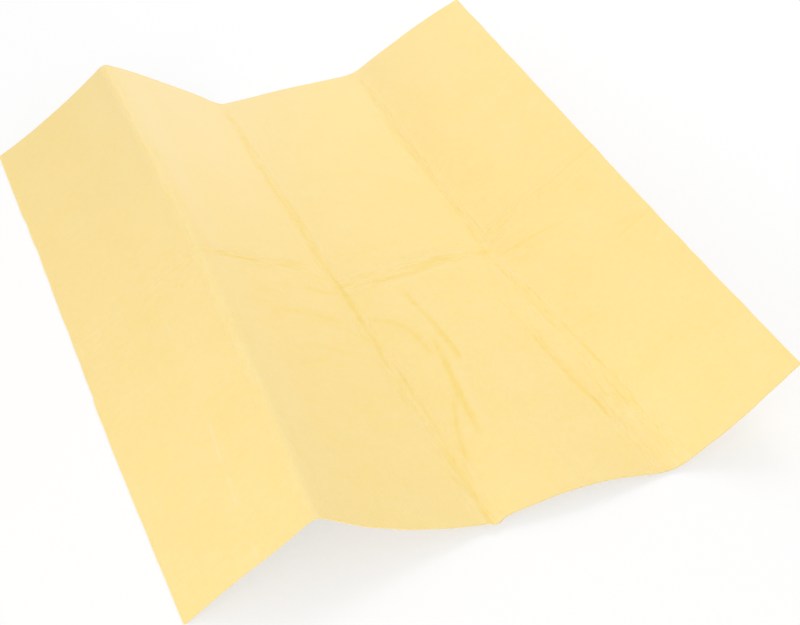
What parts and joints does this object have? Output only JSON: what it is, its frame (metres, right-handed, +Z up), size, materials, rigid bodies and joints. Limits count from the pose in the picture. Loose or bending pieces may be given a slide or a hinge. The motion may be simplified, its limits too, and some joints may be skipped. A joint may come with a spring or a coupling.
{
  "type": "synthetic chamois cloth",
  "caption": "Pale yellow non-woven wiping cloth, half unfolded: creased panels stand as a tent, lie flat and rise to a free edge, and fold at their creases.",
  "frame": {"origin": "middle of the cloth's footprint, on the surface that it rests on", "axes": "+Y along the lengthwise creases, from the near cut edge to the far one; +X across them, from the tent to the raised free edge; +Z up"},
  "size_m": [0.4012, 0.54, 0.0606],
  "materials": {
    "chamois": "matte, fine suede-like non-woven"
  },
  "bodies": {
    "inner_right": {"inner_right_panel": "chamois"},
    "inner_left": {"inner_left_panel": "chamois"},
    "outer_left": {"outer_left_panel": "chamois"},
    "outer_right": {"outer_right_panel": "chamois"}
  },
  "joints": [
    {"name": "valley_fold", "type": "hinge", "parent": "inner_right", "child": "inner_left", "pos_m": [-0.0095, 0.00001, 0.0023], "axis": [0, 1, -0.0074], "range_deg": [-20, 45]},
    {"name": "ridge_fold", "type": "hinge", "parent": "inner_left", "child": "outer_left", "pos_m": [-0.1081, 0.00001, 0.0555], "axis": [-0.0323, -0.9993, -0.0167], "range_deg": [-42, 94.5]},
    {"name": "right_fold", "type": "hinge", "parent": "inner_right", "child": "outer_right", "pos_m": [0.10648, 0.00001, 0.0003], "axis": [0.0185, -0.9998, 0], "range_deg": [-26, 125]}
  ],
  "couplings": [
    {"joint": "ridge_fold", "follows": "valley_fold", "ratio": 2.1}
  ]
}
